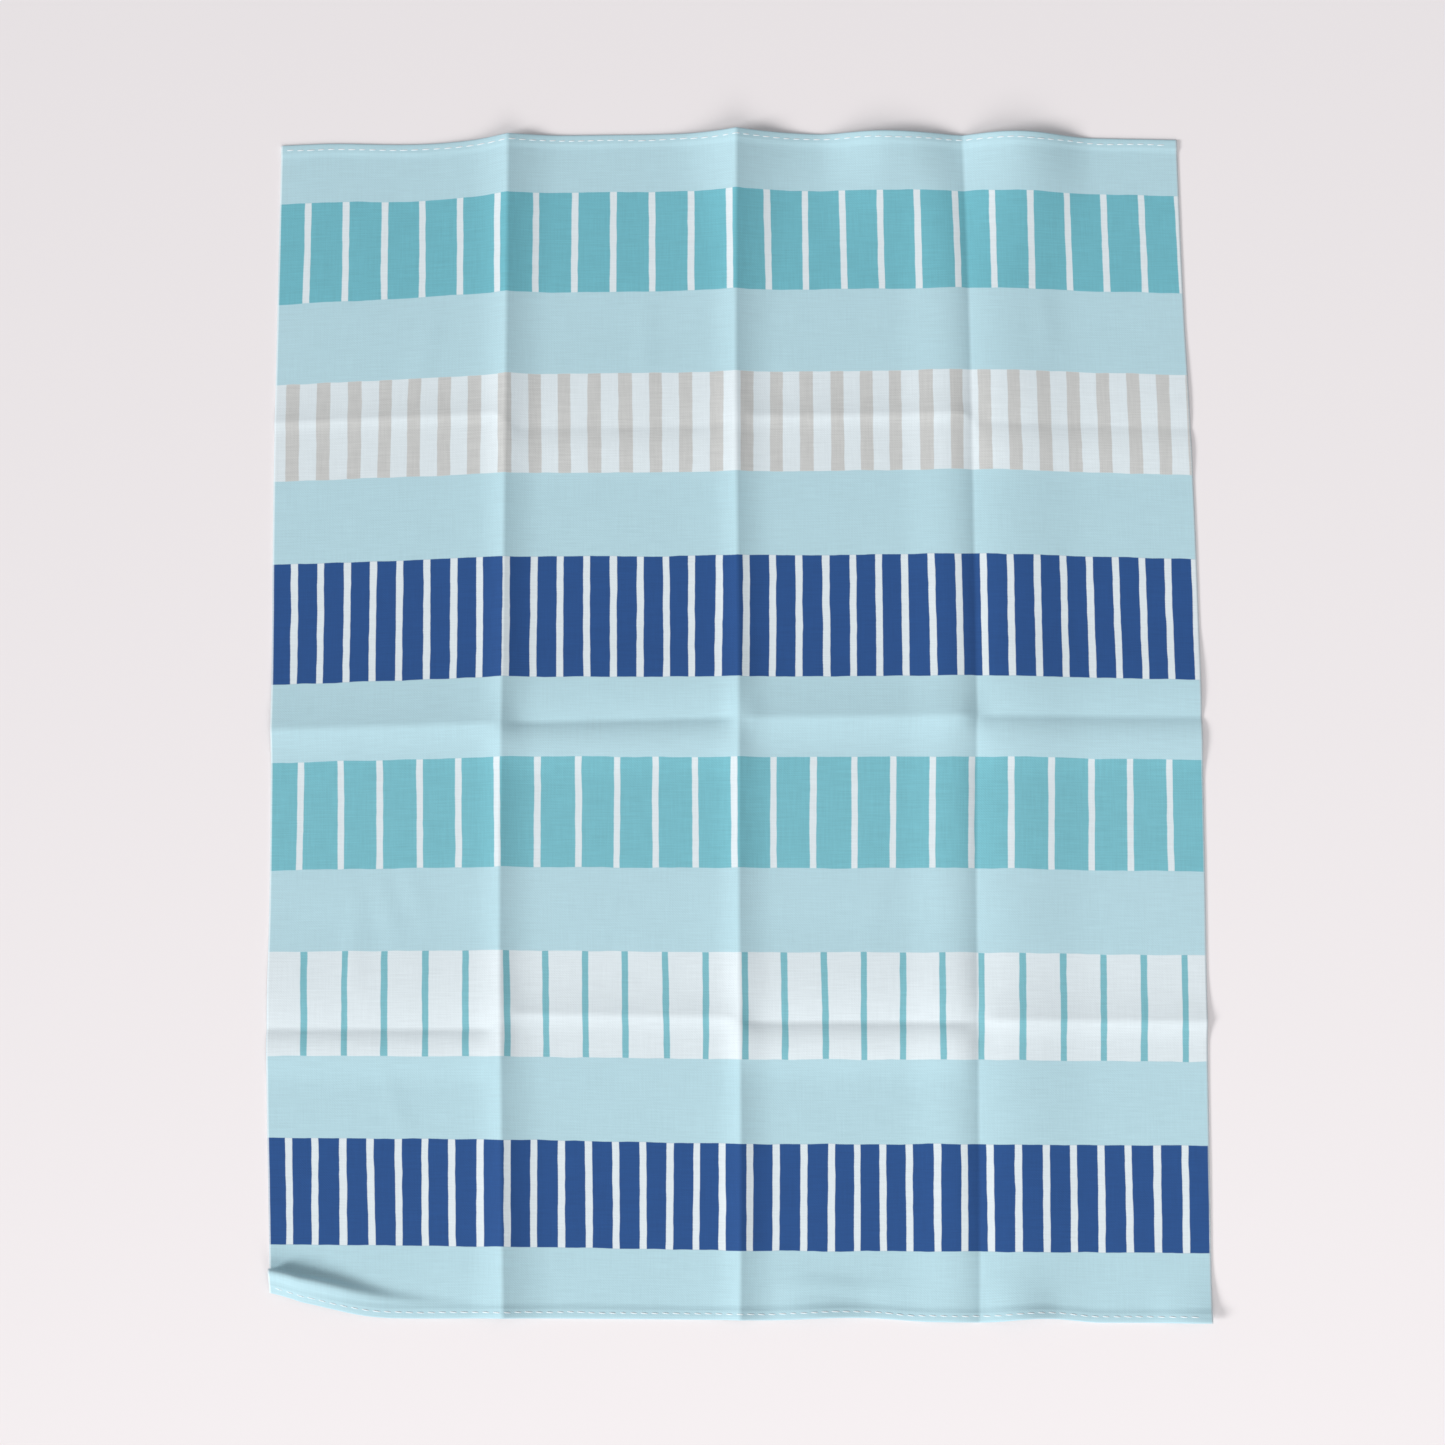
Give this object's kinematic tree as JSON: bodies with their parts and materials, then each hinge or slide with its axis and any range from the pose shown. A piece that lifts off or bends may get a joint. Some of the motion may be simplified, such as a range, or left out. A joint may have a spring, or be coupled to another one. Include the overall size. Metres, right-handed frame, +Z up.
{
  "type": "tenugui towel",
  "caption": "Thin cotton hand towel lying flat, with soft fold creases, one lifted corner and printed bands of fine stripes.",
  "frame": {"origin": "centre of the towel's bounding box in plan, at the height of the table that it lies on", "axes": "+X across the cloth from the left selvedge to the right one, +Y along it from the near hem to the far hem, +Z up from the table"},
  "size_m": [0.3534, 0.4538, 0.0086],
  "materials": {
    "cotton": "matt printed plain weave"
  },
  "bodies": {
    "root": {"towel": "cotton"}
  },
  "joints": []
}
